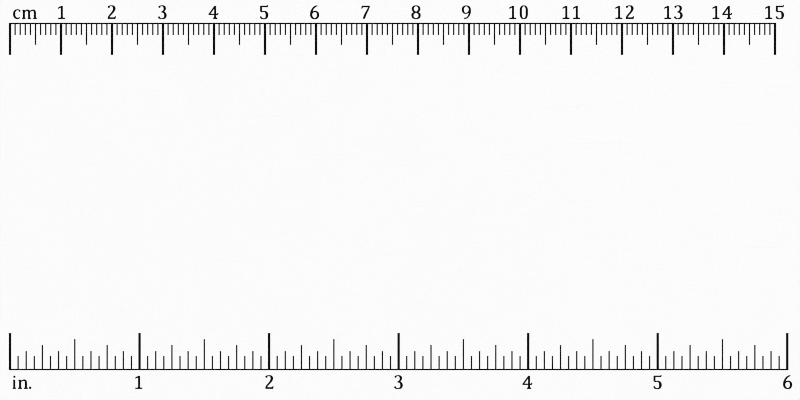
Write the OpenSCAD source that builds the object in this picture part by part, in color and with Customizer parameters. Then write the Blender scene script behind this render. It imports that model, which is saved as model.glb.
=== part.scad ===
// A flat ruler with two scales. One white plate carries a centimetre scale along its far long
// edge and an inch scale along its near long edge, and both count from the left.
// Each line, mark, numeral and unit label is a groove in the upper face, filled with black paint.
// Sizes are in millimetres. The origin is the middle of the underside, +X runs along the scales,
// +Y points to the centimetre edge and +Z points out of the upper face.

/* [Plate] */
// Width of the plate, across the scales
plate_width = 80; // [30:0.5:120]
// Thickness of the plate
plate_thickness = 3; // [1.5:0.1:8]
// Length of plate beyond each end of the longer scale
end_margin = 3.8; // [2:0.1:20]
// Radius of the four corners, seen from above
corner_radius = 3; // [1:0.1:6]
// Radius of the rounded rims of the upper face and the underside
rim_radius = 0.5; // [0.1:0.05:0.7]

/* [Grooves and paint] */
// Depth of the grooves below the upper face
groove_depth = 0.3; // [0.1:0.05:0.6]
// How far the paint lies below the upper face
paint_sink = 0.01; // [0.005:0.005:0.06]
// Width of the two base lines
line_width = 0.27; // [0.1:0.01:0.4]
// Width of the marks between whole centimetres and between whole inches
thin_mark_width = 0.27; // [0.1:0.01:0.4]
// Width of the marks at whole centimetres and whole inches
thick_mark_width = 0.47; // [0.2:0.01:0.6]

/* [Centimetre scale] */
// Length of the scale in centimetres
cm_count = 15; // [1:1:30]
// Distance from the far edge of the plate to the outer side of the base line
cm_line_inset = 5.25; // [5:0.025:10]
// Length of the centimetre marks, base line included
cm_mark_length = 6.3; // [3:0.05:8]
// Length of the half centimetre marks, base line included
half_cm_mark_length = 4.35; // [2:0.05:8]
// Length of the millimetre marks, base line included
mm_mark_length = 2.4; // [1:0.05:8]
// Gap from the base line up to the foot of the numerals
cm_numeral_gap = 0.75; // [0.3:0.05:1.2]

/* [Inch scale] */
// Length of the scale in inches
inch_count = 6; // [1:1:12]
// Distance from the near edge of the plate to the outer side of the base line
inch_line_inset = 6.625; // [5.5:0.025:10]
// Length of the inch marks, base line included
inch_mark_length = 7.3; // [3:0.05:8]
// Length of the half inch marks, base line included
half_inch_mark_length = 6.1; // [2:0.05:8]
// Length of the quarter inch marks, base line included
quarter_inch_mark_length = 4.95; // [2:0.05:8]
// Length of the eighth inch marks, base line included
eighth_inch_mark_length = 3.75; // [1:0.05:8]
// Length of the sixteenth inch marks, base line included
sixteenth_inch_mark_length = 2.8; // [1:0.05:8]
// Gap from the base line down to the top of the numerals
inch_numeral_gap = 1.1; // [0.4:0.025:1.6]

/* [Numerals] */
// Height of the numerals
numeral_height = 2.55; // [1.5:0.05:3.2]
// Width added to each pen stroke, which makes all characters bolder
stroke_gain = 0.07; // [0:0.01:0.1]
// Distance from the middle of each zero mark to the left side of its unit label
label_offset = 0.6; // [0.3:0.05:3]

/* [Hidden] */
$fn = 64;

// Both scales start at the same place and the longer one is centred on the plate
cm = 10;
inch = 25.4;
scale_span = max(cm_count * cm, inch_count * inch);
scale_start = -scale_span / 2;
plate_length = scale_span + 2 * end_margin;
cm_line_y = plate_width / 2 - cm_line_inset;
inch_line_y = inch_line_inset - plate_width / 2;

// The cutters stand this far out of the upper face
cutter_clearance = 1;
groove_floor = plate_thickness - groove_depth;
paint_height = groove_depth - paint_sink;

// How far each numeral stands to the right of its mark, numeral by numeral
cm_numeral_shifts = [
    0.2, -0.05, -0.05, -0.15, -0.2, -0.3, -0.25, -0.4, -0.55, -0.3, 0.15, 0.5, 0.1, -0.45, -0.1
];
inch_numeral_shifts = [-0.05, 0.05, 0.05, -0.2, -0.05, 0.05];

// Characters are drawn with pen strokes on a grid of a hundredth of the numeral height, counted
// from the character's left side and foot. A stroke is a list of knots [x, y, pen width]. One knot
// is a dot, two are a straight bar, more are a curve through them, and a curve that ends where it
// began is a ring. Rings run anticlockwise.
grid_step = numeral_height / 100;
digit_shapes = [
    // 0
    [
        [
            [31, 101, 5], [17, 95, 11], [9, 79, 14], [8, 52, 15], [9, 25, 14], [17, 8, 11],
            [31, 2, 5], [45, 8, 11], [53, 25, 14], [54, 52, 15], [53, 79, 14], [45, 95, 11],
            [31, 101, 5]
        ]
    ],
    // 1
    [
        [[29, 0, 13], [29, 100, 13]],
        [[0, 80, 6], [8, 87, 8], [18, 91, 9], [29, 97, 9]],
        [[0, 4, 8], [54, 4, 8]],
        [[29, 3, 32], [29, 9, 20], [29, 18, 13]]
    ],
    // 2
    [
        [[8, 93, 15]],
        [
            [4, 90, 8], [10, 97, 7], [20, 101, 5], [32, 101, 6], [43, 96, 13], [50, 82, 18],
            [46, 66, 15], [37, 52, 12], [25, 38, 11], [14, 25, 11], [5, 9, 11]
        ],
        [[0, 6, 11], [60, 6, 11]],
        [[50, 7, 13], [57, 12, 8], [60, 22, 4]]
    ],
    // 3
    [
        [[13, 93, 14]],
        [
            [10, 90, 8], [15, 97, 7], [26, 101, 5], [38, 101, 7], [49, 94, 14], [54, 82, 17],
            [51, 69, 13], [43, 59, 10], [28, 52, 6]
        ],
        [
            [30, 52, 6], [42, 53, 10], [53, 45, 14], [59, 30, 18], [56, 14, 15], [46, 5, 10],
            [31, 2, 5], [17, 4, 8], [9, 12, 9]
        ],
        [[10, 12, 14]]
    ],
    // 4
    [
        [[53, 0, 13], [53, 100, 13]],
        [[51, 97, 10], [8, 36, 10]],
        [[2, 35, 8], [75, 35, 8]],
        [[68, 36, 9], [73, 39, 7], [76, 47, 4]],
        [[37, 4, 8], [70, 4, 8]],
        [[53, 3, 30], [53, 9, 20], [53, 17, 13]]
    ],
    // 5
    [
        [[8, 56, 13], [8, 100, 13]],
        [[2, 96, 9], [60, 96, 9]],
        [[50, 96, 8], [57, 99, 8], [60, 107, 4]],
        [
            [8, 55, 8], [20, 57, 6], [33, 58, 7], [45, 52, 13], [52, 40, 18], [53, 24, 18],
            [48, 9, 13], [36, 2, 7], [24, 2, 6], [13, 5, 10], [7, 12, 11], [4, 21, 6]
        ]
    ],
    // 6
    [
        [
            [36, 2, 6], [50, 6, 11], [59, 17, 14], [62, 31, 15], [60, 44, 14], [50, 55, 10],
            [37, 58, 8], [25, 55, 8], [14, 46, 12], [9, 33, 15], [12, 18, 14], [23, 6, 11],
            [36, 2, 6]
        ],
        [[8, 36, 13], [10, 53, 13], [17, 70, 12], [28, 86, 11], [42, 97, 9], [58, 102, 4]]
    ],
    // 7
    [
        [[3, 96, 9], [66, 96, 9]],
        [[14, 95, 10], [7, 90, 9], [3, 79, 5]],
        [[62, 95, 8], [55, 80, 10], [46, 62, 12], [37, 45, 13], [29, 27, 14], [22, 8, 14]],
        [[21, 8, 15]]
    ],
    // 8
    [
        [
            [39, 101, 5], [24, 97, 10], [15, 85, 14], [15, 70, 14], [24, 58, 12], [39, 52, 7],
            [54, 58, 12], [63, 70, 14], [63, 85, 14], [54, 97, 10], [39, 101, 5]
        ],
        [
            [39, 52, 7], [23, 46, 12], [13, 36, 15], [12, 25, 15], [16, 12, 13], [27, 5, 9],
            [39, 2, 6], [51, 5, 9], [62, 12, 13], [66, 25, 15], [65, 36, 15], [55, 46, 12],
            [39, 52, 7]
        ]
    ],
    // 9
    [
        [
            [34, 101, 5], [21, 96, 10], [11, 86, 13], [9, 71, 15], [12, 56, 13], [20, 46, 9],
            [31, 43, 6], [44, 46, 7], [56, 56, 11], [62, 71, 14], [59, 86, 13], [48, 96, 10],
            [34, 101, 5]
        ],
        [[62, 74, 13], [63, 56, 14], [59, 36, 12], [49, 18, 9], [36, 7, 8], [18, 4, 8]]
    ]
];
// Width of the space that a digit takes, and the blank at the left side of each digit in it
digit_cell = 81;
digit_blanks = [10, 10, 10, 2, 2, 10, 6, 6, 2, 6];

letter_c = [
    [[50, 62, 13]],
    [
        [50, 60, 7], [45, 69, 7], [34, 71, 5], [21, 67, 9], [11, 55, 13], [8, 38, 15],
        [11, 20, 14], [21, 8, 12], [33, 4, 9], [44, 6, 8], [51, 13, 6]
    ]
];
letter_m = [
    [[2, 65, 8], [14, 65, 8]],
    [[14, 0, 14], [14, 69, 14]],
    [[54, 0, 13], [54, 60, 13]],
    [[99, 0, 14], [99, 54, 14]],
    [[16, 53, 5], [27, 62, 7], [40, 67, 9], [51, 63, 13], [54, 52, 13]],
    [[56, 53, 5], [68, 62, 7], [83, 67, 9], [95, 62, 13], [99, 50, 14]],
    [[0, 4, 8], [27, 4, 8]],
    [[43, 4, 8], [69, 4, 8]],
    [[85, 4, 8], [114, 4, 8]]
];
letter_i = [
    [[10, 93, 15]],
    [[0, 65, 8], [10, 65, 8]],
    [[9, 0, 13], [9, 69, 13]],
    [[-3, 4, 8], [23, 4, 8]]
];
letter_n = [
    [[3, 65, 8], [16, 65, 8]],
    [[16, 0, 14], [16, 69, 14]],
    [[61, 0, 14], [61, 54, 14]],
    [[18, 53, 5], [31, 62, 7], [45, 67, 9], [57, 62, 13], [61, 50, 14]],
    [[0, 4, 8], [31, 4, 8]],
    [[45, 4, 8], [76, 4, 8]]
];
full_stop = [[[8, 8, 17]]];

// The letters of each unit label with the place of their left sides
cm_label = [[0, letter_c], [69, letter_m]];
inch_label = [[0, letter_i], [38, letter_n], [123, full_stop]];

// Points that a curve takes from one knot to the next, and sides of a dot
curve_steps = 3;
dot_sides = 12;

// A knot of a stroke, where a ring goes on round and an open curve stops at its end knots
function knot(knots, ring, i) =
    ring ? knots[(i + len(knots) - 1) % (len(knots) - 1)] : knots[min(max(i, 0), len(knots) - 1)];

// A point t of the way from b to c on the smooth curve through a, b, c and d
function along_curve(a, b, c, d, t) =
    b + t * ((c - a) + t * ((2 * a - 5 * b + 4 * c - d) + t * (3 * b - a - 3 * c + d))) / 2;

function curve_points(knots, ring) = [
    for (i = [0 : len(knots) - 2], step = [0 : curve_steps - 1])
        along_curve(
            knot(knots, ring, i - 1), knot(knots, ring, i),
            knot(knots, ring, i + 1), knot(knots, ring, i + 2), step / curve_steps
        ),
    if (!ring) knots[len(knots) - 1]
];

// The points half a pen width to one side of a line: its left where side is 1, its right at -1
function pen_side(line, ring, side) = [
    for (i = [0 : len(line) - 1])
        let (
            n = len(line),
            before = ring ? line[(i + n - 1) % n] : line[max(i - 1, 0)],
            after = ring ? line[(i + 1) % n] : line[min(i + 1, n - 1)],
            along = [after.x - before.x, after.y - before.y],
            across = [-along.y, along.x] / norm(along)
        )
        [line[i].x, line[i].y] + side * line[i].z / 2 * across
];

function reversed(list) = [for (i = [len(list) - 1 : -1 : 0]) list[i]];

module pen_dot(knot) {
    translate([knot.x, knot.y]) circle(d = knot.z, $fn = dot_sides);
}

module open_stroke(line) {
    polygon(concat(pen_side(line, false, -1), reversed(pen_side(line, false, 1))));
}

module ring_stroke(line) {
    count = len(line);
    polygon(
        points = concat(pen_side(line, true, -1), pen_side(line, true, 1)),
        paths = [[for (i = [0 : count - 1]) i], [for (i = [count : 2 * count - 1]) i]]
    );
}

module stroke(knots) {
    if (len(knots) == 1)
        pen_dot(knots[0]);
    else if (len(knots) == 2)
        open_stroke(knots);
    else if (knots[0] == knots[len(knots) - 1])
        ring_stroke(curve_points(knots, true));
    else
        open_stroke(curve_points(knots, false));
}

// A character at its real size, with its left side and foot at the origin
module character(strokes) {
    for (knots = strokes)
        stroke([for (knot = knots) grid_step * knot + [0, 0, stroke_gain]]);
}

// A number of one or two digits, centred on x = 0
module number_shape(n) {
    digits = n < 10 ? [n] : [floor(n / 10), n % 10];
    for (i = [0 : len(digits) - 1])
        translate([((i - len(digits) / 2) * digit_cell + digit_blanks[digits[i]]) * grid_step, 0])
            character(digit_shapes[digits[i]]);
}

module label_shape(letters) {
    for (letter = letters)
        translate([letter.x * grid_step, 0])
            character(letter[1]);
}

// A base line from the first mark's outer side to the last one's, growing inwards from line_y
module base_line_shape(span, line_y, inwards) {
    translate([scale_start - thick_mark_width / 2, min(line_y, line_y + inwards * line_width)])
        square([span + thick_mark_width, line_width]);
}

// Marks from the inner side of the base line, at distances from the start of the scale
module mark_shapes(distances, width, length, line_y, inwards) {
    for (distance = distances)
        translate([
            scale_start + distance - width / 2,
            min(line_y + inwards * line_width, line_y + inwards * length)
        ])
            square([width, length - line_width]);
}

// The odd multiples of a step, which lie between the marks of the next larger step
function odd_steps(count, step) = [for (i = [1 : 2 : count - 1]) i * step];

module cm_base_line_shape() {
    base_line_shape(cm_count * cm, cm_line_y, -1);
}

module cm_mark_shapes() {
    mark_shapes([for (i = [0 : cm_count]) i * cm], thick_mark_width, cm_mark_length, cm_line_y, -1);
}

module half_cm_mark_shapes() {
    mark_shapes(odd_steps(2 * cm_count, cm / 2), thin_mark_width, half_cm_mark_length, cm_line_y, -1);
}

module mm_mark_shapes() {
    single_marks = [for (i = [1 : cm_count * cm - 1]) if (i % (cm / 2) != 0) i];
    mark_shapes(single_marks, thin_mark_width, mm_mark_length, cm_line_y, -1);
}

module cm_label_shape() {
    translate([scale_start + label_offset, cm_line_y + cm_numeral_gap])
        label_shape(cm_label);
}

module cm_numeral_shape(n) {
    shift = n > len(cm_numeral_shifts) ? 0 : cm_numeral_shifts[n - 1];
    translate([scale_start + n * cm + shift, cm_line_y + cm_numeral_gap])
        number_shape(n);
}

module inch_base_line_shape() {
    base_line_shape(inch_count * inch, inch_line_y, 1);
}

module inch_mark_shapes() {
    whole_marks = [for (i = [0 : inch_count]) i * inch];
    mark_shapes(whole_marks, thick_mark_width, inch_mark_length, inch_line_y, 1);
}

// Marks at the odd halves, quarters, eighths or sixteenths of an inch
module inch_part_shapes(parts, length) {
    mark_shapes(odd_steps(parts * inch_count, inch / parts), thin_mark_width, length, inch_line_y, 1);
}

module inch_label_shape() {
    translate([scale_start + label_offset, inch_line_y - inch_numeral_gap - numeral_height])
        label_shape(inch_label);
}

module inch_numeral_shape(n) {
    shift = n > len(inch_numeral_shifts) ? 0 : inch_numeral_shifts[n - 1];
    translate([scale_start + n * inch + shift, inch_line_y - inch_numeral_gap - numeral_height])
        number_shape(n);
}

// Everything that is cut into the upper face, seen from above
module engraving_shape() {
    cm_base_line_shape();
    cm_mark_shapes();
    half_cm_mark_shapes();
    mm_mark_shapes();
    cm_label_shape();
    for (n = [1 : cm_count])
        cm_numeral_shape(n);
    inch_base_line_shape();
    inch_mark_shapes();
    inch_part_shapes(2, half_inch_mark_length);
    inch_part_shapes(4, quarter_inch_mark_length);
    inch_part_shapes(8, eighth_inch_mark_length);
    inch_part_shapes(16, sixteenth_inch_mark_length);
    inch_label_shape();
    for (n = [1 : inch_count])
        inch_numeral_shape(n);
}

// Half of the plate's cross section, from its middle line out to a rounded rim at reach
module half_section(reach) {
    square([reach - rim_radius, plate_thickness]);
    translate([0, rim_radius])
        square([reach, plate_thickness - 2 * rim_radius]);
    for (z = [rim_radius, plate_thickness - rim_radius])
        translate([reach - rim_radius, z])
            circle(r = rim_radius);
}

// A straight length of plate with both of its long rims rounded, along Y
module plate_band(width, length) {
    translate([0, length / 2, 0])
        rotate([90, 0, 0])
            linear_extrude(length) {
                half_section(width / 2);
                mirror([1, 0]) half_section(width / 2);
            }
}

// The plate before it is engraved: two bands that cross, with a quarter disc in each corner
module plate_blank() {
    corner_x = plate_length / 2 - corner_radius;
    corner_y = plate_width / 2 - corner_radius;
    plate_band(plate_length, 2 * corner_y);
    rotate([0, 0, 90]) plate_band(plate_width, 2 * corner_x);
    for (turn = [0, 180])
        rotate([0, 0, turn]) {
            translate([corner_x, corner_y, 0])
                rotate_extrude(angle = 90) half_section(corner_radius);
            translate([-corner_x, corner_y, 0])
                rotate([0, 0, 90]) rotate_extrude(angle = 90) half_section(corner_radius);
        }
}

module plate() {
    color("white")
        difference() {
            plate_blank();
            translate([0, 0, groove_floor])
                linear_extrude(groove_depth + cutter_clearance) engraving_shape();
        }
}

// Black paint that fills the grooves of one set of shapes
module paint() {
    color("black")
        translate([0, 0, groove_floor])
            linear_extrude(paint_height) children();
}

module cm_base_line() {
    paint() cm_base_line_shape();
}

module cm_marks() {
    paint() cm_mark_shapes();
}

module half_cm_marks() {
    paint() half_cm_mark_shapes();
}

module millimetre_marks() {
    paint() mm_mark_shapes();
}

module cm_unit_label() {
    paint() cm_label_shape();
}

module cm_numeral(n) {
    paint() cm_numeral_shape(n);
}

module inch_base_line() {
    paint() inch_base_line_shape();
}

module inch_marks() {
    paint() inch_mark_shapes();
}

module half_inch_marks() {
    paint() inch_part_shapes(2, half_inch_mark_length);
}

module quarter_inch_marks() {
    paint() inch_part_shapes(4, quarter_inch_mark_length);
}

module eighth_inch_marks() {
    paint() inch_part_shapes(8, eighth_inch_mark_length);
}

module sixteenth_inch_marks() {
    paint() inch_part_shapes(16, sixteenth_inch_mark_length);
}

module inch_unit_label() {
    paint() inch_label_shape();
}

module inch_numeral(n) {
    paint() inch_numeral_shape(n);
}

plate();
cm_base_line();
cm_marks();
half_cm_marks();
millimetre_marks();
cm_unit_label();
for (n = [1 : cm_count]) cm_numeral(n);
inch_base_line();
inch_marks();
half_inch_marks();
quarter_inch_marks();
eighth_inch_marks();
sixteenth_inch_marks();
inch_unit_label();
for (n = [1 : inch_count]) inch_numeral(n);
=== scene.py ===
# %% [markdown]
# # A flat ruler with a centimetre and an inch scale
# The object is one white plastic plate, 160 x 80 x 3 mm. A centimetre scale runs along its far long
# edge and an inch scale along its near long edge. Every line, mark and numeral is a shallow groove
# that was filled with black paint and wiped flush.
#
# The construction model gives the shape of the plate and of each groove. Here it is loaded as a fixed
# frame: it says where everything is, and nothing below moves or resizes it. Blender adds what a
# construction model leaves out, which is how the edges catch the light and what the surfaces are like.

import math

import bpy
import numpy as np
from mathutils.geometry import delaunay_2d_cdt
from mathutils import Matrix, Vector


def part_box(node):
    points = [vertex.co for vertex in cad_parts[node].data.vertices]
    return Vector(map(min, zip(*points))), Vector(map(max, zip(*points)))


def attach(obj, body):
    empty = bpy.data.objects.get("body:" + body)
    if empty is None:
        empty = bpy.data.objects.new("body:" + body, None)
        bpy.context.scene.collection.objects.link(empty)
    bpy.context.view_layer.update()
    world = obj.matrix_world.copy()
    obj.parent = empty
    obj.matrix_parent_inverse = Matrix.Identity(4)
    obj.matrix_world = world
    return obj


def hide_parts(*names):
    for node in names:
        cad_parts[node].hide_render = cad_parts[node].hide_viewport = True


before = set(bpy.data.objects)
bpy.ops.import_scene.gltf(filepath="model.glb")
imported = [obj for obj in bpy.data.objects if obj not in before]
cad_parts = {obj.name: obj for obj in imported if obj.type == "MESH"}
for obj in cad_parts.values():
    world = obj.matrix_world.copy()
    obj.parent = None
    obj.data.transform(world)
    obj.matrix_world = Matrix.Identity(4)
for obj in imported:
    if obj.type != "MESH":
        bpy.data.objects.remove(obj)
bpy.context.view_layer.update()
print("nodes in the frame:", len(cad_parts))

# %% [markdown]
# ## Lengths and colours
# Blender measures in metres, and a ruler is easier to think of in millimetres, so one name holds the
# step between them. Colours are given as sRGB hex values, while a shader works with linear
# light. Doing that sum in one place means that no colour is turned twice or forgotten.

# %% Millimetres and linear colours
MM = 0.001


def linear(hex_colour):
    """An sRGB hex colour as linear red, green, blue and alpha.

    Each channel c from 0 to 1 becomes c / 12.92 below 0.04045, and ((c + 0.055) / 1.055) to the
    power 2.4 above it.
    """
    channel = np.array([int(hex_colour[i:i + 2], 16) for i in (1, 3, 5)]) / 255
    light = np.where(channel <= 0.04045, channel / 12.92, ((channel + 0.055) / 1.055) ** 2.4)
    return (*light.tolist(), 1.0)


print("middle grey #808080 is", round(linear("#808080")[0], 4), "in linear light")

# %% [markdown]
# ## The camera
# The picture was taken from straight above, as a flatbed scanner or a copy stand would, so the scales
# show no foreshortening. An orthographic camera would give that too, but other views move the camera
# by its distance, which only works in perspective. A long lens straight above a flat face comes to the
# same thing: all of the face lies at one distance, so one scale holds over the whole picture.
#
# The centimetre scale tells how large one pixel of the picture is: the middles of its first and last
# mark are 765 pixels apart, and 150 mm on the ruler. That gives the width that the camera sees, and the
# distance follows from the lens. A sensor 36 mm wide behind a 135 mm lens sees 36 / 135 of the distance.
#
# A thin mark is hardly wider than one pixel of the picture. The pixel filter of Cycles is a pixel and a
# half wide, so each pixel takes in some of its neighbours' light, and such a mark turns grey. A filter
# one pixel wide keeps it black, as the picture has it.

# %% Camera straight above the plate
PICTURE_WIDTH = 800
FIRST_MARK_PIXEL = 10
LAST_MARK_PIXEL = 775
SCALE_LENGTH = 150 * MM
SENSOR_WIDTH = 36
LENS = 135
NEAREST_SEEN = 10 * MM
FARTHEST_SEEN = 10_000 * MM
FILTER_WIDTH = 1.0

plate_low, plate_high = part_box("plate")
PLATE_TOP = plate_high.z
marks_low, marks_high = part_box("cm_marks")
pixel = SCALE_LENGTH / (LAST_MARK_PIXEL - FIRST_MARK_PIXEL)
scale_middle_pixel = (FIRST_MARK_PIXEL + LAST_MARK_PIXEL) / 2
camera_x = (marks_low.x + marks_high.x) / 2 + (PICTURE_WIDTH / 2 - scale_middle_pixel) * pixel
camera_distance = PICTURE_WIDTH * pixel * LENS / SENSOR_WIDTH

camera_data = bpy.data.cameras.new("camera")
camera_data.sensor_width = SENSOR_WIDTH
camera_data.lens = LENS
camera_data.clip_start = NEAREST_SEEN
camera_data.clip_end = FARTHEST_SEEN
camera = bpy.data.objects.new("camera", camera_data)
camera.location = (camera_x, 0, PLATE_TOP + camera_distance)
bpy.context.scene.collection.objects.link(camera)
bpy.context.scene.camera = camera
bpy.context.scene.cycles.filter_width = FILTER_WIDTH
print("seen width and distance in mm:", round(PICTURE_WIDTH * pixel / MM, 2), round(camera_distance / MM, 2))

# %% [markdown]
# ## The upper face
# The construction model has each groove with razor-sharp rims. A real groove has a rim that the cutter
# and the polishing cloth rounded a little, and the paint in it stands against its walls like water in a
# narrow dish. Both shapes follow the outline of the groove, so the outlines come first.
#
# They could be typed in again, but the frame already holds them: the upper face of the plate is a flat
# patch of triangles, and where the patch stops, there is a rim.

# %% Triangles of the upper face
SAME_PLACE = 0.0001 * MM
SAME_HEIGHT = 0.001 * MM


def upper_triangles(mesh):
    """The corners and triangles of the highest flat face of a mesh of loose triangles.

    Corners that round to the same place become one point. A triangle belongs to the face when all
    three of its corners are at the greatest height.
    """
    mesh.calc_loop_triangles()
    corner = np.empty(3 * len(mesh.vertices))
    mesh.vertices.foreach_get("co", corner)
    corner = corner.reshape(-1, 3)
    triangle = np.empty(3 * len(mesh.loop_triangles), dtype=int)
    mesh.loop_triangles.foreach_get("vertices", triangle)
    place = np.round(corner / SAME_PLACE).astype(np.int64)
    _, first, same = np.unique(place, axis=0, return_index=True, return_inverse=True)
    point = corner[first]
    triangle = same.reshape(-1)[triangle].reshape(-1, 3)
    height = point[triangle][:, :, 2]
    return point, triangle[np.all(height > point[:, 2].max() - SAME_HEIGHT, axis=1)]


face_point, face_triangle = upper_triangles(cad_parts["plate"].data)
print("triangles of the upper face:", len(face_triangle))

# %% [markdown]
# ## Its outlines
# An edge inside the face belongs to two triangles, which run along it in opposite directions. An edge on
# a rim belongs to one. Following the rims edge by edge would be a slow loop over thousands of points.
# Leaps that double in length get round all the outlines at once, in a dozen or so passes over whole
# arrays.

# %% Outlines of the upper face


def rim_loops(point, triangle):
    """The outlines of a flat patch of triangles, each with the patch on the left of its travel.

    An edge is on the rim when no triangle has its reverse. Each rim point leads to the next one.
    Doubling the length of the leap, over and over, gives every point at once the lowest number in
    its loop, and then the number of steps from it to that lowest point, which puts them in order.
    """
    edge = np.concatenate([triangle[:, [0, 1]], triangle[:, [1, 2]], triangle[:, [2, 0]]])
    count = len(point)
    rim = edge[~np.isin(edge @ [count, 1], edge @ [1, count])]
    number = np.arange(count)
    follow = number.copy()
    follow[rim[:, 0]] = rim[:, 1]
    doublings = range(count.bit_length())
    lowest, leap = number, follow
    for _ in doublings:
        lowest, leap = np.minimum(lowest, lowest[leap]), leap[leap]
    start = lowest == number
    leap = np.where(start, number, follow)
    steps = np.where(start, 0, 1)
    for _ in doublings:
        steps, leap = steps + steps[leap], leap[leap]
    steps[start] = count
    on_rim = np.unique(rim)
    order = on_rim[np.lexsort((-steps[on_rim], lowest[on_rim]))]
    cuts = np.nonzero(np.diff(lowest[order]))[0] + 1
    return [point[part, :2] for part in np.split(order, cuts)]


outlines = rim_loops(face_point, face_triangle)
print("outlines:", len(outlines), "with", sum(map(len, outlines)), "points")

# %% [markdown]
# ## Moving an outline sideways
# A rounded rim and a paint surface both need copies of an outline, moved a few hundredths of a
# millimetre to one side. Each point moves along the line that halves its corner, and further where the
# corner is sharper, so that straight stretches stay parallel.
#
# Where two pen strokes of a numeral cross, the outline has edges shorter than that move, and such an
# edge would turn round on itself. Its two ends are drawn together beforehand. The outline changes by
# less than a hundredth of a millimetre, which no eye finds. The widest outline is the plate's own. It
# is left out, because the plate's edge is made anew further down.

# %% Sideways moves and steady outlines
SHARPEST = 0.35
STEADY_REACH = 0.045 * MM


def moved_left(loop, distance):
    """A closed outline moved to the left of its travel.

    A point goes by distance times (n1 + n2) / (1 + n1 . n2), where n1 and n2 are the left-hand unit
    normals of the edges before and after it. The divisor is held above a limit at sharp corners.
    """
    along = np.roll(loop, -1, axis=0) - loop
    along = along / np.linalg.norm(along, axis=1)[:, None]
    after = np.stack([-along[:, 1], along[:, 0]], axis=1)
    before = np.roll(after, 1, axis=0)
    spread = np.maximum(1 + np.sum(before * after, axis=1), SHARPEST)
    return loop + distance * (before + after) / spread[:, None]


def steady(loop, reach, passes=4):
    """The outline without the edges that turn round when it moves by reach to either side.

    Each such edge gives up its first end, and its second end takes the middle of the two.
    """
    for _ in range(passes):
        edge = np.roll(loop, -1, axis=0) - loop
        kept = np.ones(len(loop), dtype=bool)
        for side in (reach, -reach):
            far = moved_left(loop, side)
            kept &= np.sum(edge * (np.roll(far, -1, axis=0) - far), axis=1) > 0
        middle = np.where(np.roll(kept, 1)[:, None], loop, (loop + np.roll(loop, 1, axis=0)) / 2)
        loop = middle[kept]
    return loop


widest = int(np.argmax([np.ptp(loop[:, 0]) for loop in outlines]))
grooves = [steady(loop, STEADY_REACH) for loop in outlines[:widest] + outlines[widest + 1:]]
print("groove outlines:", len(grooves), "with", sum(map(len, grooves)), "points")

# %% [markdown]
# ## Walls: a profile carried along an outline
# Every surface here is one of two kinds, and a rim or a wall is the first. It is a profile carried along
# an outline: each row of the profile is the outline, moved sideways and set at a height, and four-sided
# faces join one row to the next.

# %% Rows of points and the faces between them


def carried(loop, profile):
    """Rows of points: row i is the outline moved left by profile[i][0] at the height profile[i][1]."""
    rows = [np.column_stack([moved_left(loop, side), np.full(len(loop), z)]) for side, z in profile]
    return np.stack(rows)


def wall_quads(rows, count, start):
    """Faces between rows of points, where rows run downwards and the material is on the left.

    The face of row i and point j has the corners (i, j), (i + 1, j), (i + 1, j + 1), (i, j + 1).
    """
    i, j = np.meshgrid(np.arange(rows - 1), np.arange(count), indexing="ij")
    following = (j + 1) % count
    corners = [i * count + j, (i + 1) * count + j, (i + 1) * count + following, i * count + following]
    return start + np.stack(corners, axis=-1).reshape(-1, 4)


print("a profile of 3 rows on an outline of 4 points gives", len(wall_quads(3, 4, 0)), "faces")

# %% [markdown]
# ## Flat fills
# The second kind is flat: the face of the plate between its outline and the grooves, or the top of the
# paint in one groove. A Delaunay triangulation fills it with triangles as even as the outlines allow.
# It uses the outlines' own points, so the seams to the walls are closed without merging anything.

# %% Triangles between outlines
WHOLE_HULL = 0
NEAREST_POINTS = 1e-7


def flat_fill(loops):
    """Triangles that fill the area between outlines, facing up, as numbers of the outlines' points.

    Every outline edge is an edge of the triangulation, which is worked out in millimetres and covers
    the whole hull of the points. A triangle is in the area when a line from its middle towards +X
    crosses the outlines an odd number of times.
    """
    point = np.concatenate(loops) / MM
    size = np.array([len(loop) for loop in loops])
    start = np.repeat(np.cumsum(size) - size, size)
    number = np.arange(len(point))
    edge = np.column_stack([number, start + (number - start + 1) % np.repeat(size, size)])
    found = delaunay_2d_cdt(point.tolist(), edge.tolist(), [], WHOLE_HULL, NEAREST_POINTS)
    if len(found[0]) != len(point):
        raise ValueError("outlines touch or cross each other")
    source = np.array([names[0] for names in found[3]])
    triangle = source[np.array(found[2])]
    x, y = point[triangle].mean(axis=1).T[:, :, None]
    (ax, ay), (bx, by) = point[edge[:, 0]].T, point[edge[:, 1]].T
    straddles = (ay > y) != (by > y)
    rise = np.where(by == ay, 1, by - ay)
    crossed = straddles & (ax + (y - ay) * (bx - ax) / rise > x)
    return triangle[crossed.sum(axis=1) % 2 == 1]


square = MM * np.array([[-1, -1], [1, -1], [1, 1], [-1, 1]])
print("a square with a square hole takes", len(flat_fill([3 * square, square])), "triangles")

# %% [markdown]
# ## One closed piece
# A piece is some walls and the flat fills that close them. The fills share the walls' points, and each
# is told which way it faces, so that all faces point outwards. Walls are shaded smooth round their
# curves, and an edge sharper than 35 degrees stays an edge, as at the floor of a groove.

# %% Walls and fills as one object
SHARP_EDGE = math.radians(35)


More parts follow.
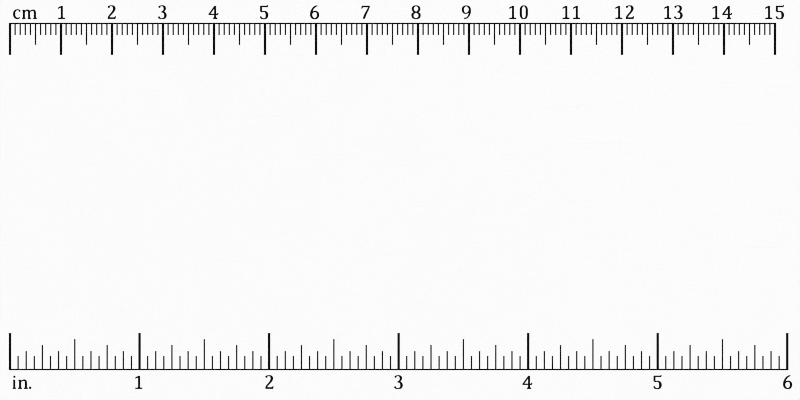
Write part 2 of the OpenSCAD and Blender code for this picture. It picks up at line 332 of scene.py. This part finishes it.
def closed_piece(name, stacks, fills):
    """A mesh object from stacks of rows and the flat fills between them.

    A fill is (stack numbers, row, facing up): it spans that row of those stacks. Walls are shaded
    smooth up to a sharp edge, and flat fills stay flat.
    """
    start = np.cumsum([0] + [stack.shape[0] * stack.shape[1] for stack in stacks])
    faces = [wall_quads(*stack.shape[:2], first) for stack, first in zip(stacks, start)]
    wall_count = sum(map(len, faces))
    for chosen, row, facing_up in fills:
        triangle = flat_fill([stacks[k][row][:, :2] for k in chosen])
        rows, counts = np.array([stacks[k].shape[:2] for k in chosen]).T
        at = start[chosen] + (row % rows) * counts
        number = np.concatenate([first + np.arange(count) for first, count in zip(at, counts)])
        faces.append(number[triangle if facing_up else triangle[:, ::-1]])
    mesh = bpy.data.meshes.new(name)
    points = np.concatenate([stack.reshape(-1, 3) for stack in stacks])
    mesh.from_pydata(points, [], [face for block in faces for face in block.tolist()])
    mesh.set_sharp_from_angle(angle=SHARP_EDGE)
    mesh.polygons.foreach_set("use_smooth", np.arange(len(mesh.polygons)) < wall_count)
    mesh.validate()
    piece = bpy.data.objects.new(name, mesh)
    bpy.context.scene.collection.objects.link(piece)
    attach(piece, "root")
    return piece


print("edges stay sharp from", round(math.degrees(SHARP_EDGE)), "degrees")

# %% [markdown]
# ## The profiles of the plate
# A plate like this is sawn from sheet, then its outline is milled with a cutter that rounds both rims.
# Its outline is a rectangle with rounded corners, and its edge profile is a quarter circle, a short
# straight and another quarter circle. The grooves are cut into the upper face in the same way: a rim
# rounded to 0.01 mm, then a straight wall down to the floor. The construction model's paint stands on
# that floor, so its lowest point says how deep the grooves are.

# %% Outline, edge profile and groove profile
CORNER_RADIUS = 3 * MM
CORNER_STEPS = 12
EDGE_RADIUS = 0.5 * MM
EDGE_STEPS = 12
RIM_RADIUS = 0.01 * MM
RIM_STEPS = 2
paint_low, paint_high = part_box("cm_base_line")
GROOVE_FLOOR = paint_low.z


def rounded_rectangle(low, high, radius, steps):
    """An anticlockwise outline: about each corner's centre, points at radius in steps of the angle."""
    angle = np.linspace(0, math.pi / 2, steps + 1) + math.pi / 2 * np.arange(4)[:, None]
    middle_x = np.array([high.x, low.x, low.x, high.x]) + radius * np.array([-1, 1, 1, -1])
    middle_y = np.array([high.y, high.y, low.y, low.y]) + radius * np.array([-1, -1, 1, 1])
    x = middle_x[:, None] + radius * np.cos(angle)
    y = middle_y[:, None] + radius * np.sin(angle)
    return np.column_stack([x.reshape(-1), y.reshape(-1)])


def quarter(radius, steps):
    """A quarter circle from flat to upright, as sideways distances and depths."""
    angle = np.linspace(0, math.pi / 2, steps + 1)
    return radius * (1 - np.sin(angle)), radius * (1 - np.cos(angle))


outline = rounded_rectangle(plate_low, plate_high, CORNER_RADIUS, CORNER_STEPS)

side, depth = quarter(EDGE_RADIUS, EDGE_STEPS)
upper_edge = np.column_stack([side, PLATE_TOP - depth])
lower_edge = np.column_stack([side, plate_low.z + depth])[::-1]
edge_profile = np.concatenate([upper_edge, lower_edge])

side, depth = quarter(RIM_RADIUS, RIM_STEPS)
groove_profile = np.column_stack([side, PLATE_TOP - depth])
groove_profile = np.append(groove_profile, [[0, GROOVE_FLOOR]], axis=0)
print("rows of the edge and of a groove:", len(edge_profile), len(groove_profile))

# %% [markdown]
# ## The plate
# The plate could be a box with a Bevel modifier and a Boolean for each groove, but a Boolean leaves
# ragged rims on shapes this fine. Here the edge profile is carried round the plate's outline and the
# groove profile round each groove. Three flat fills close them: the upper face, the underside and the
# floors of the grooves.

# %% Build the plate
stacks = [carried(outline, edge_profile)] + [carried(loop, groove_profile) for loop in grooves]
groove_numbers = list(range(1, len(stacks)))
plate = closed_piece(
    "white_plate",
    stacks,
    [([0] + groove_numbers, 0, True), ([0], -1, False), (groove_numbers, -1, True)],
)
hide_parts("plate")
print("plate faces:", len(plate.data.polygons))

# %% [markdown]
# ## The paint
# Paint is brushed over the engraved face and wiped off again, so it stays in the grooves alone. It
# wets the walls and shrinks as it dries, which leaves its surface hollow: it reaches up to the rim at
# the walls and is a hundredth of a millimetre lower in the middle of the stroke.
#
# Each numeral is one piece. The long line of a scale and all of its marks are one connected groove, so
# their paint is one piece too, and it stands for several nodes of the construction model.

# %% Fill the grooves
SLACK = 0.05 * MM
# Distances from the wall and depths below its rim, in mm
HOLLOW = [(0.034, 0.010), (0.022, 0.009), (0.009, 0.005), (0, 0)]
paint_profile = [(side * MM, paint_high.z - depth * MM) for side, depth in HOLLOW]
paint_profile.append((0, GROOVE_FLOOR))


def grooves_of(nodes):
    """The groove outlines that lie inside the box around some nodes, turned to have paint on the left."""
    corners = np.array([[corner[:2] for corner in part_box(node)] for node in nodes])
    low, high = corners[:, 0].min(axis=0) - SLACK, corners[:, 1].max(axis=0) + SLACK
    return [loop[::-1] for loop in grooves if np.all((loop > low) & (loop < high))]


def fill_with_paint(name, nodes):
    """A paint piece in the grooves of some nodes, which it stands for."""
    stacks = [carried(loop, paint_profile) for loop in grooves_of(nodes)]
    every = list(range(len(stacks)))
    piece = closed_piece(name, stacks, [(every, 0, True), (every, -1, False)])
    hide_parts(*nodes)
    return piece


cm_lines = ["cm_base_line", "cm_marks", "half_cm_marks", "millimetre_marks"]
inch_lines = [
    "inch_base_line", "inch_marks", "half_inch_marks",
    "quarter_inch_marks", "eighth_inch_marks", "sixteenth_inch_marks",
]
characters = [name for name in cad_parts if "numeral" in name or "label" in name]
paint_pieces = [
    fill_with_paint("cm_scale_paint", cm_lines),
    fill_with_paint("inch_scale_paint", inch_lines),
    *[fill_with_paint(name + "_paint", [name]) for name in characters],
]
print("paint pieces:", len(paint_pieces), "with", sum(len(p.data.polygons) for p in paint_pieces), "faces")

# %% [markdown]
# ## A helper for materials
# A shader is a small network. One function adds a node, sets its options and fills its inputs, where
# an input is either a plain value or the output of a node that is there already. Every material below
# is then a list of such calls, which reads from the surface coordinates to the finished shader.

# %% One function that adds a shader node


def add(tree, kind, inputs=None, **options):
    """A new node of a kind, with its options set and each input given a value or joined to an output."""
    made = tree.nodes.new("ShaderNode" + kind)
    for option, value in options.items():
        setattr(made, option, value)
    for name, value in (inputs or {}).items():
        if isinstance(value, bpy.types.NodeSocket):
            tree.links.new(value, made.inputs[name])
        else:
            made.inputs[name].default_value = value
    return made


def new_material(name):
    """An empty material with its node tree, without the nodes that a new one starts with."""
    material = bpy.data.materials.new(name)
    material.use_nodes = True
    material.node_tree.nodes.clear()
    return material, material.node_tree


def per_mm(size):
    """The scale of a pattern that repeats every so many millimetres, where coordinates are metres."""
    return 1 / (size * MM)


print("a grain of 0.25 mm has the scale", round(per_mm(0.25)))

# %% [markdown]
# ## White sheet plastic: the pressed faces
# The plate is rigid white PVC sheet, pressed between satin steel plates and cut to size afterwards. The
# press leaves a fine even grain, which spreads a highlight into a soft bloom. The gloss varies a little
# from one centimetre to the next. Sliding over desks has left hairlines in two main directions, which
# show only where light grazes them.
#
# A picture of real plastic could be wrapped round the plate instead. Noise that is worked out at each
# point has no seams, and it stays sharp however near the camera comes. The real grain is about 0.1 mm
# across, finer than the picture can show, so it is drawn at 0.25 mm.

# %% Grain, gloss and hairlines of the faces
GRAIN_WIDTH = 0.25
CLOUD_WIDTH = 9
HAIRLINE_FADE = 0.06
white_plastic, tree = new_material("white_pvc_sheet_pressed_and_milled")
at = add(tree, "TexCoord").outputs["Object"]
grain = add(tree, "TexNoise", {"Vector": at, "Scale": per_mm(GRAIN_WIDTH), "Detail": 3.0, "Roughness": 0.6})
cloud = add(tree, "TexNoise", {"Vector": at, "Scale": per_mm(CLOUD_WIDTH), "Detail": 4.0,
                               "Roughness": 0.55})


def hairlines(tree, at, turn, spacing, length, threshold):
    """Sparse fine lines: noise squeezed across one direction and cut off below a threshold."""
    turned = add(tree, "Mapping", {"Vector": at, "Rotation": (0, 0, math.radians(turn)),
                                   "Scale": (per_mm(length), per_mm(spacing), per_mm(length))})
    streak = add(tree, "TexNoise", {"Vector": turned.outputs["Vector"], "Scale": 1.0, "Detail": 1.0})
    return add(tree, "MapRange", {"Value": streak.outputs["Fac"], "From Min": threshold,
                                  "From Max": threshold + HAIRLINE_FADE}).outputs["Result"]


lines_along = hairlines(tree, at, turn=4, spacing=0.35, length=26, threshold=0.70)
lines_across = hairlines(tree, at, turn=67, spacing=0.4, length=18, threshold=0.72)
scratch = add(tree, "Math", {0: lines_along, 1: lines_across}, operation="MAXIMUM").outputs[0]
print("nodes for the faces:", len(tree.nodes))

# %% [markdown]
# ## White sheet plastic: the cut edges
# A milling cutter has taken the pressed skin off the edges and their rims. Cut plastic is a little
# duller and less white, and each nick in the cutter leaves a fine line along the edge. Where fingers
# hold the plate, they have polished the upper rim again.
#
# The edges could have a material of their own, with a hard border where it starts. Here the height of
# a point says how much of it was cut, because the skin is only on the two faces. So the two finishes
# run into each other on the rounded rim, as they do on the real plate.

# %% Cut plastic, milling lines and rubbed rims
SKIN = 0.04 * MM
RUBBED_WIDTH = 1.6 * MM
MILLING_LENGTH = 6
MILLING_SPACING = 0.25
place = add(tree, "SeparateXYZ", {"Vector": at}).outputs
under_face = add(tree, "MapRange", {"Value": place["Z"], "From Min": PLATE_TOP - SKIN / 4,
                                    "From Max": PLATE_TOP - SKIN}).outputs["Result"]
over_base = add(tree, "MapRange", {"Value": place["Z"], "From Min": plate_low.z + SKIN / 4,
                                   "From Max": plate_low.z + SKIN}).outputs["Result"]
cut = add(tree, "Math", {0: under_face, 1: over_base}, operation="MULTIPLY").outputs[0]
skinned = add(tree, "Math", {0: 1.0, 1: cut}, operation="SUBTRACT").outputs[0]

line_scale = (per_mm(MILLING_LENGTH), per_mm(MILLING_LENGTH), per_mm(MILLING_SPACING))
squeezed = add(tree, "Mapping", {"Vector": at, "Scale": line_scale})
milling = add(tree, "TexNoise", {"Vector": squeezed.outputs["Vector"], "Scale": 1.0, "Detail": 3.0})

reach_x = add(tree, "Math", {0: place["X"]}, operation="ABSOLUTE").outputs[0]
reach_y = add(tree, "Math", {0: place["Y"]}, operation="ABSOLUTE").outputs[0]
near_end = add(tree, "MapRange", {"Value": reach_x, "From Min": plate_high.x - RUBBED_WIDTH,
                                  "From Max": plate_high.x}).outputs["Result"]
near_side = add(tree, "MapRange", {"Value": reach_y, "From Min": plate_high.y - RUBBED_WIDTH,
                                   "From Max": plate_high.y}).outputs["Result"]
near_rim = add(tree, "Math", {0: near_end, 1: near_side}, operation="MAXIMUM").outputs[0]
upper = add(tree, "MapRange", {"Value": place["Z"], "From Min": PLATE_TOP - 2 * EDGE_RADIUS,
                               "From Max": PLATE_TOP - EDGE_RADIUS / 2}).outputs["Result"]
rubbed = add(tree, "Math", {0: near_rim, 1: upper}, operation="MULTIPLY").outputs[0]
print("nodes with the edges:", len(tree.nodes))

# %% [markdown]
# ## White sheet plastic: colour and roughness
# The masks above now steer what the surface is like. The white varies by less than the eye can tell on
# the pressed faces, and is a shade greyer where it was cut. Roughness about 0.5 is satin: a lamp shows
# as a broad glow and never as a shape. Hairlines and cutting make it duller, and rubbing polishes it.

# %% Colour and roughness of the plastic
SATIN_LEAST = 0.48
SATIN_MOST = 0.58
SCRATCH_DULLS = 0.15
CUT_DULLS = 0.08
RUBBING_DULLS = -0.18
face_tint = add(tree, "Mix", {"Factor": cloud.outputs["Fac"], "A": linear("#fdfdfd"),
                              "B": linear("#fbfbfb")}, data_type="RGBA").outputs["Result"]
tint = add(tree, "Mix", {"Factor": cut, "A": face_tint, "B": linear("#f5f5f3")},
           data_type="RGBA").outputs["Result"]
satin = add(tree, "MapRange", {"Value": cloud.outputs["Fac"], "To Min": SATIN_LEAST,
                               "To Max": SATIN_MOST}).outputs["Result"]
scuffed = add(tree, "Math", {0: scratch, 1: SCRATCH_DULLS, 2: satin}, operation="MULTIPLY_ADD").outputs[0]
duller = add(tree, "Math", {0: cut, 1: CUT_DULLS, 2: scuffed}, operation="MULTIPLY_ADD").outputs[0]
roughness = add(tree, "Math", {0: rubbed, 1: RUBBING_DULLS, 2: duller}, operation="MULTIPLY_ADD").outputs[0]
print("satin roughness:", SATIN_LEAST, "to", SATIN_MOST)

# %% [markdown]
# ## White sheet plastic: bumps and shader
# The bumps are hundredths of a millimetre high. The grain and the hairlines are on the pressed faces
# only, and the milling lines on the cut edges only, and each bump passes its normal on to the next. The
# last one goes into a Principled shader with the IOR of PVC.

# %% Bumps and shader of the plastic
GRAIN_HEIGHT = 0.03 * MM
HAIRLINE_DEPTH = 0.01 * MM
MILLING_HEIGHT = 0.03 * MM
PVC_IOR = 1.53
grained = add(tree, "Bump", {"Height": grain.outputs["Fac"], "Distance": GRAIN_HEIGHT,
                             "Strength": skinned})
scored = add(tree, "Bump", {"Height": scratch, "Distance": HAIRLINE_DEPTH, "Strength": skinned,
                            "Normal": grained.outputs["Normal"]}, invert=True)
milled = add(tree, "Bump", {"Height": milling.outputs["Fac"], "Distance": MILLING_HEIGHT,
                            "Strength": cut, "Normal": scored.outputs["Normal"]})
shader = add(tree, "BsdfPrincipled", {"Base Color": tint, "Roughness": roughness, "IOR": PVC_IOR,
                                      "Normal": milled.outputs["Normal"]})
add(tree, "OutputMaterial", {"Surface": shader.outputs["BSDF"]})
plate.data.materials.append(white_plastic)
print("white plastic nodes:", len(tree.nodes))

# %% [markdown]
# ## Black engraving paint
# The paint is a thick black enamel, dried matt. Its skin is a little uneven from the wiping cloth, and
# shinier where it pooled. Real black paint still sends back a few hundredths of the light, while the
# picture's marks are as black as ink, so the colour sits at the dark end of what such a paint has, and
# the shader's specular level is turned down.

# %% Black paint material
SKIN_GRAIN_WIDTH = 0.15
SKIN_GRAIN_HEIGHT = 0.008 * MM
POOL_WIDTH = 1.4
ENAMEL_IOR = 1.5
ENAMEL_SPECULAR = 0.04
black_paint, tree = new_material("black_engraving_enamel_wiped")
at = add(tree, "TexCoord").outputs["Object"]
skin = add(tree, "TexNoise", {"Vector": at, "Scale": per_mm(SKIN_GRAIN_WIDTH), "Detail": 3.0,
                              "Roughness": 0.6})
pooled = add(tree, "TexNoise", {"Vector": at, "Scale": per_mm(POOL_WIDTH), "Detail": 2.0})
tint = add(tree, "Mix", {"Factor": pooled.outputs["Fac"], "A": linear("#030303"), "B": linear("#070707")},
           data_type="RGBA").outputs["Result"]
gloss = add(tree, "MapRange", {"Value": pooled.outputs["Fac"], "To Min": 0.55, "To Max": 0.75})
uneven = add(tree, "Bump", {"Height": skin.outputs["Fac"], "Distance": SKIN_GRAIN_HEIGHT, "Strength": 1.0})
shader = add(tree, "BsdfPrincipled", {"Base Color": tint, "Roughness": gloss.outputs["Result"],
                                      "IOR": ENAMEL_IOR, "Specular IOR Level": ENAMEL_SPECULAR,
                                      "Normal": uneven.outputs["Normal"]})
add(tree, "OutputMaterial", {"Surface": shader.outputs["BSDF"]})
for piece in paint_pieces:
    piece.data.materials.append(black_paint)
print("black paint nodes:", len(tree.nodes))

# %% [markdown]
# ## The floor
# The plate lies on a plain pale floor. It is a little darker than the plate, because white on white
# would lose the plate's outline in every view but the one from above. It could be a square, but a disc
# has an even horizon from all sides. It lies a hair below the plate, so that no two faces share a place.

# %% Floor of matt board
FLOOR_RADIUS = 8_000 * MM
FLOOR_SIDES = 96
FLOOR_GAP = 0.05 * MM
FLOOR_COLOUR = linear("#cfd0d1")
FIBRE_WIDTH = 1.2
FIBRE_HEIGHT = 0.03 * MM
floor_mesh = bpy.data.meshes.new("floor")
angle = np.linspace(0, 2 * math.pi, FLOOR_SIDES, endpoint=False)
floor_height = np.full(FLOOR_SIDES, plate_low.z - FLOOR_GAP)
rim = np.column_stack([FLOOR_RADIUS * np.cos(angle), FLOOR_RADIUS * np.sin(angle), floor_height])
floor_mesh.from_pydata(rim, [], [list(range(FLOOR_SIDES))])
floor = bpy.data.objects.new("floor", floor_mesh)
bpy.context.scene.collection.objects.link(floor)

floor_paint, tree = new_material("floor_matt_board")
at = add(tree, "TexCoord").outputs["Object"]
fibre = add(tree, "TexNoise", {"Vector": at, "Scale": per_mm(FIBRE_WIDTH), "Detail": 3.0})
board = add(tree, "Bump", {"Height": fibre.outputs["Fac"], "Distance": FIBRE_HEIGHT, "Strength": 1.0})
shader = add(tree, "BsdfPrincipled", {"Base Color": FLOOR_COLOUR, "Roughness": 0.9,
                                      "Specular IOR Level": 0.0, "Normal": board.outputs["Normal"]})
add(tree, "OutputMaterial", {"Surface": shader.outputs["BSDF"]})
floor_mesh.materials.append(floor_paint)
print("floor radius in m:", FLOOR_RADIUS)

# %% [markdown]
# ## The lamps
# Two suns and an even sky light the scene. Suns light the near and the far floor alike, so the floor
# has one tone up to the horizon, and the plate is as even as on a scanner's glass. The key comes from
# the right and behind. Its disc is 14 degrees wide, so the thin plate casts a soft shadow that is still
# dark where it starts. The fill comes from the left and in front, and its disc of 60 degrees leaves no
# shadow that can be seen. Together with the sky they add up to a level at which a colour comes out
# about as it is written.

# %% Two suns and the level of light
SKY_LIGHT = 0.40


def sun(name, azimuth, elevation, strength, disc):
    """A soft sun whose light comes from an azimuth, clockwise from +Y, and an elevation.

    Its light on a level face, as a share of full white, is strength * sin(elevation) / pi.
    """
    data = bpy.data.lights.new(name, "SUN")
    data.energy = strength
    data.angle = math.radians(disc)
    lamp = bpy.data.objects.new(name, data)
    lamp.rotation_euler = (math.radians(90 - elevation), 0, math.radians(180 - azimuth))
    bpy.context.scene.collection.objects.link(lamp)
    return strength * math.sin(math.radians(elevation)) / math.pi


key_level = sun("key_light", azimuth=50, elevation=42, strength=2.08, disc=14)
fill_level = sun("fill_light", azimuth=-140, elevation=50, strength=0.62, disc=60)
level = SKY_LIGHT + key_level + fill_level
print("light level on a level face:", round(level, 3))

# %% [markdown]
# ## Sky and backdrop
# The world does two jobs. It is the even white sky that lights the plate, and it is what the camera
# sees beyond the floor. There it has the tone of the lit floor, so that no horizon shows. Reflections
# see that backdrop too.

# %% World and colour management
world = bpy.data.worlds.new("studio")
world.use_nodes = True
tree = world.node_tree
tree.nodes.clear()
ray = add(tree, "LightPath").outputs
mirrored = add(tree, "Math", {0: ray["Is Glossy Ray"], 1: ray["Is Transmission Ray"]}, operation="MAXIMUM")
seen = add(tree, "Math", {0: ray["Is Camera Ray"], 1: mirrored.outputs[0]}, operation="MAXIMUM").outputs[0]
light = add(tree, "Background", {"Color": linear("#ffffff"), "Strength": SKY_LIGHT}).outputs[0]
backdrop = add(tree, "Background", {"Color": FLOOR_COLOUR, "Strength": level}).outputs[0]
both = add(tree, "MixShader", {0: seen, 1: light, 2: backdrop}).outputs[0]
add(tree, "OutputWorld", {"Surface": both})
bpy.context.scene.world = world
bpy.context.scene.view_settings.view_transform = "Standard"
print("world nodes:", len(tree.nodes))
